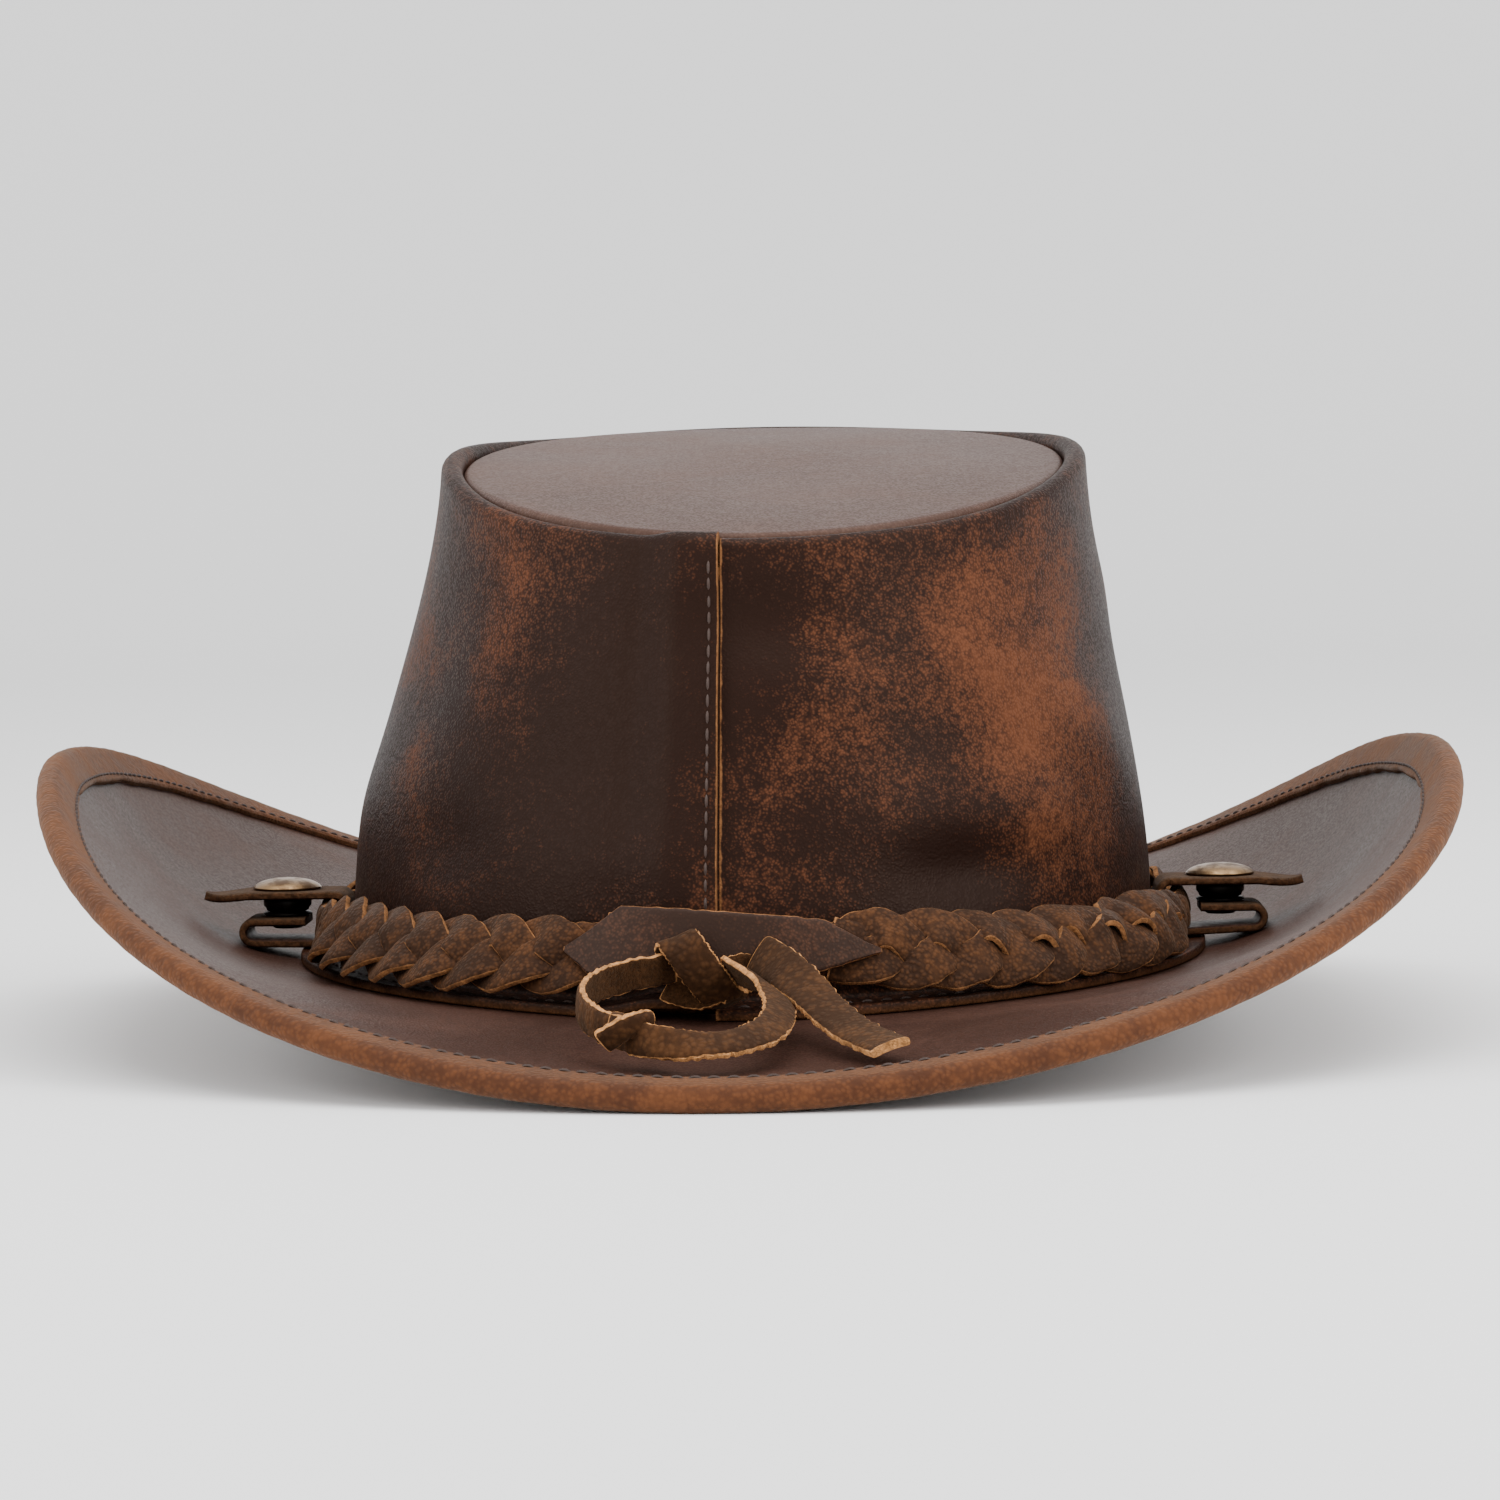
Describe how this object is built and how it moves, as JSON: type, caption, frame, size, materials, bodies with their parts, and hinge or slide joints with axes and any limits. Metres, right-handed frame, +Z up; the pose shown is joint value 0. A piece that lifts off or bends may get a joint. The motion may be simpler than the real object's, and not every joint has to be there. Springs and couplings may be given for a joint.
{
  "type": "cowboy hat",
  "caption": "Leather cowboy hat with rolled wired brim, lapped crown, braided hatband with a tie lace, and snap keepers at the sides.",
  "frame": {"origin": "on the floor under the middle of the brim's box, the hat resting on the front and back of its brim", "axes": "+Z up, +Y towards the front of the hat, +X towards the wearer's right"},
  "size_m": [0.3139, 0.39, 0.1323],
  "materials": {
    "brim_leather": "oiled pull-up leather, dark brown with a soft sheen",
    "binding_leather": "worn orange-brown leather",
    "crown_leather": "oiled pull-up leather, mottled dark and orange brown",
    "tip_leather": "oiled pull-up leather, greyish sheen",
    "sweatband_leather": "smooth leather",
    "braid_leather": "leather lace, rough cut edges",
    "tab_leather": "smooth dark leather",
    "lace_leather": "leather lace with tan raw edges",
    "keeper_leather": "smooth dark leather with a flesh side",
    "steel_wire": "bright wire",
    "thread": "waxed dark brown thread",
    "antique_brass": "antique brass, brown patina",
    "black_snap": "black oxide"
  },
  "bodies": {
    "hat": {"brim": "brim_leather", "brim_binding": "binding_leather", "brim_binding_stitching": "thread", "brim_seam_stitching": "thread", "brim_wire": "steel_wire", "crown_back_seam_stitching": "thread", "crown_side": "crown_leather", "crown_tip": "tip_leather", "crown_tip_stitching": "thread", "hatband_inner_tab": "tab_leather", "hatband_outer_tab": "tab_leather", "hatband_strand_lower": "braid_leather", "hatband_strand_middle": "braid_leather", "hatband_strand_upper": "braid_leather", "keeper_loop_left": "keeper_leather", "keeper_loop_right": "keeper_leather", "lace_end_knot": "lace_leather", "lace_knot": "lace_leather", "lace_loop": "lace_leather", "lace_tail": "lace_leather", "snap_post_left": "black_snap", "snap_post_right": "black_snap", "snap_stud_left": "black_snap", "snap_stud_right": "black_snap", "sweatband": "sweatband_leather", "sweatband_stitching": "thread"},
    "flap_left": {"keeper_flap_left": "keeper_leather", "snap_cap_left": "antique_brass", "snap_socket_left": "black_snap"},
    "flap_right": {"keeper_flap_right": "keeper_leather", "snap_cap_right": "antique_brass", "snap_socket_right": "black_snap"}
  },
  "joints": [
    {"name": "keeper_left_swing", "type": "hinge", "parent": "hat", "child": "flap_left", "pos_m": [-0.08873, 0, 0.02913], "axis": [0, 1, 0], "range_deg": [0, 80]},
    {"name": "keeper_right_swing", "type": "hinge", "parent": "hat", "child": "flap_right", "pos_m": [0.09266, 0, 0.0296], "axis": [0, -1, 0], "range_deg": [0, 80]}
  ]
}
